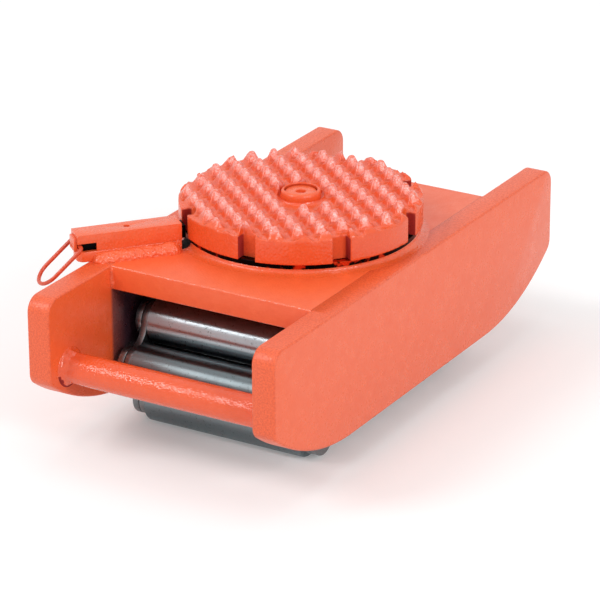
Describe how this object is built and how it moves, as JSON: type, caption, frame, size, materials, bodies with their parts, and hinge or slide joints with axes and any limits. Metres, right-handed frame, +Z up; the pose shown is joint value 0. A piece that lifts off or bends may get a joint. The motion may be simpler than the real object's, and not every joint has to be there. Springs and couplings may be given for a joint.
{
  "type": "machine skate",
  "caption": "Low steel machine skate: side plates and deck on an endless roller chain, with a toothed swivel pad, a sliding swivel lock and tow bars.",
  "frame": {"origin": "on the floor, under the swivel axis", "axes": "+X towards the front tow bar along the travel direction, +Y to the left side plate, +Z up along the swivel axis"},
  "size_m": [0.288, 0.164, 0.112],
  "materials": {
    "frame_paint": "orange-red gloss enamel over plate, with a little orange peel",
    "pad_paint": "orange-red enamel, rubbed paler on the tooth tips",
    "roller_steel": "turned and hardened steel, oiled",
    "chain_link_steel": "stamped steel plate with bright edges, oiled",
    "track_steel": "plain machined steel, oiled",
    "greased_steel": "dark greased steel"
  },
  "bodies": {
    "frame": {"side_plate_left": "frame_paint", "side_plate_right": "frame_paint", "deck_plate": "frame_paint", "tow_bar_front": "frame_paint", "tow_bar_rear": "frame_paint", "base_ring": "frame_paint", "lock_base": "frame_paint", "lock_housing": "frame_paint", "lock_welds": "frame_paint", "track_plate": "track_steel", "thrust_washer": "greased_steel", "pivot_screw": "pad_paint", "lock_stop_pin": "frame_paint", "link_pair_01": "chain_link_steel", "link_pair_02": "chain_link_steel", "link_pair_03": "chain_link_steel", "link_pair_04": "chain_link_steel", "link_pair_05": "chain_link_steel", "link_pair_06": "chain_link_steel", "link_pair_07": "chain_link_steel", "link_pair_08": "chain_link_steel", "link_pair_09": "chain_link_steel", "link_pair_10": "chain_link_steel", "link_pair_11": "chain_link_steel", "link_pair_12": "chain_link_steel", "link_pair_13": "chain_link_steel", "link_pair_14": "chain_link_steel"},
    "pad": {"swivel_pad": "pad_paint"},
    "bolt": {"lock_bolt": "greased_steel"},
    "ring": {"pull_ring": "frame_paint"},
    "roll_01": {"roller_01": "roller_steel"},
    "roll_02": {"roller_02": "roller_steel"},
    "roll_03": {"roller_03": "roller_steel"},
    "roll_04": {"roller_04": "roller_steel"},
    "roll_05": {"roller_05": "roller_steel"},
    "roll_06": {"roller_06": "roller_steel"},
    "roll_07": {"roller_07": "roller_steel"},
    "roll_08": {"roller_08": "roller_steel"},
    "roll_09": {"roller_09": "roller_steel"},
    "roll_10": {"roller_10": "roller_steel"},
    "roll_11": {"roller_11": "roller_steel"},
    "roll_12": {"roller_12": "roller_steel"},
    "roll_13": {"roller_13": "roller_steel"},
    "roll_14": {"roller_14": "roller_steel"}
  },
  "joints": [
    {"name": "pad_swivel", "type": "hinge", "parent": "frame", "child": "pad", "pos_m": [0, 0, 0.0934], "axis": [0, 0, 1], "continuous": true},
    {"name": "lock_slide", "type": "slide", "parent": "frame", "child": "bolt", "axis": [-0.7604, 0.6494, 0], "range_m": [0, 0.0048]},
    {"name": "pull_ring_swing", "type": "hinge", "parent": "bolt", "child": "ring", "pos_m": [0.08933, -0.0763, 0.0962], "axis": [-0.6494, -0.7604, 0], "range_deg": [0, 200]},
    {"name": "roller_01_spin", "type": "hinge", "parent": "frame", "child": "roll_01", "pos_m": [-0.06075, 0, 0.012], "axis": [0, 1, 0], "continuous": true},
    {"name": "roller_02_spin", "type": "hinge", "parent": "frame", "child": "roll_02", "pos_m": [-0.03485, 0, 0.012], "axis": [0, 1, 0], "continuous": true},
    {"name": "roller_03_spin", "type": "hinge", "parent": "frame", "child": "roll_03", "pos_m": [-0.00895, 0, 0.012], "axis": [0, 1, 0], "continuous": true},
    {"name": "roller_04_spin", "type": "hinge", "parent": "frame", "child": "roll_04", "pos_m": [0.01695, 0, 0.012], "axis": [0, 1, 0], "continuous": true},
    {"name": "roller_05_spin", "type": "hinge", "parent": "frame", "child": "roll_05", "pos_m": [0.04285, 0, 0.012], "axis": [0, 1, 0], "continuous": true},
    {"name": "roller_06_spin", "type": "hinge", "parent": "frame", "child": "roll_06", "pos_m": [0.06875, 0, 0.012], "axis": [0, 1, 0], "continuous": true},
    {"name": "roller_07_spin", "type": "hinge", "parent": "frame", "child": "roll_07", "pos_m": [0.08238, 0, 0.03402], "axis": [0, 1, 0], "continuous": true},
    {"name": "roller_08_spin", "type": "hinge", "parent": "frame", "child": "roll_08", "pos_m": [0.06475, 0, 0.053], "axis": [0, 1, 0], "continuous": true},
    {"name": "roller_09_spin", "type": "hinge", "parent": "frame", "child": "roll_09", "pos_m": [0.03885, 0, 0.053], "axis": [0, 1, 0], "continuous": true},
    {"name": "roller_10_spin", "type": "hinge", "parent": "frame", "child": "roll_10", "pos_m": [0.01295, 0, 0.053], "axis": [0, 1, 0], "continuous": true},
    {"name": "roller_11_spin", "type": "hinge", "parent": "frame", "child": "roll_11", "pos_m": [-0.01295, 0, 0.053], "axis": [0, 1, 0], "continuous": true},
    {"name": "roller_12_spin", "type": "hinge", "parent": "frame", "child": "roll_12", "pos_m": [-0.03885, 0, 0.053], "axis": [0, 1, 0], "continuous": true},
    {"name": "roller_13_spin", "type": "hinge", "parent": "frame", "child": "roll_13", "pos_m": [-0.06475, 0, 0.053], "axis": [0, 1, 0], "continuous": true},
    {"name": "roller_14_spin", "type": "hinge", "parent": "frame", "child": "roll_14", "pos_m": [-0.07838, 0, 0.03097], "axis": [0, 1, 0], "continuous": true}
  ],
  "couplings": [
    {"joint": "roller_02_spin", "follows": "roller_01_spin", "ratio": 1},
    {"joint": "roller_03_spin", "follows": "roller_01_spin", "ratio": 1},
    {"joint": "roller_04_spin", "follows": "roller_01_spin", "ratio": 1},
    {"joint": "roller_05_spin", "follows": "roller_01_spin", "ratio": 1},
    {"joint": "roller_06_spin", "follows": "roller_01_spin", "ratio": 1},
    {"joint": "roller_07_spin", "follows": "roller_01_spin", "ratio": 1},
    {"joint": "roller_08_spin", "follows": "roller_01_spin", "ratio": 1},
    {"joint": "roller_09_spin", "follows": "roller_01_spin", "ratio": 1},
    {"joint": "roller_10_spin", "follows": "roller_01_spin", "ratio": 1},
    {"joint": "roller_11_spin", "follows": "roller_01_spin", "ratio": 1},
    {"joint": "roller_12_spin", "follows": "roller_01_spin", "ratio": 1},
    {"joint": "roller_13_spin", "follows": "roller_01_spin", "ratio": 1},
    {"joint": "roller_14_spin", "follows": "roller_01_spin", "ratio": 1}
  ]
}
